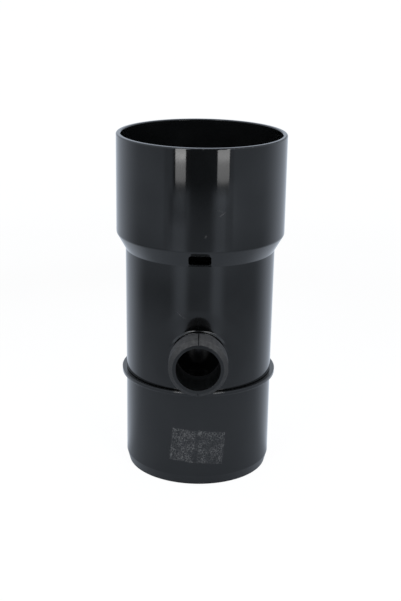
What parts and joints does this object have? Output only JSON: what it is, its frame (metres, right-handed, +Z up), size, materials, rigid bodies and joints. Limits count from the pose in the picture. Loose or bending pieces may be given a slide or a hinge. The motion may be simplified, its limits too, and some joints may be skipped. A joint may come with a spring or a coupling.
{
  "type": "downpipe rain diverter",
  "caption": "Moulded downpipe fitting that catches rain in a ring trough round an overflow tube and leads it out of a barbed hose spout; socket above, flange and spigot below.",
  "frame": {"origin": "on the pipe's axis, in the plane of the flange's underside, where the spigot begins and the fitting seats on the end of the lower pipe; the foot that it stands on is 68.4 mm below", "axes": "+Z up the downpipe, out of the socket; -Y out along the hose spout; +X to the right of the spout as seen from the front"},
  "size_m": [0.1172, 0.1333, 0.2399],
  "materials": {
    "black_plastic": "glossy black moulded PVC, fine grain on the spout's barb"
  },
  "bodies": {
    "root": {"upper_body": "black_plastic", "lower_body": "black_plastic"}
  },
  "joints": []
}
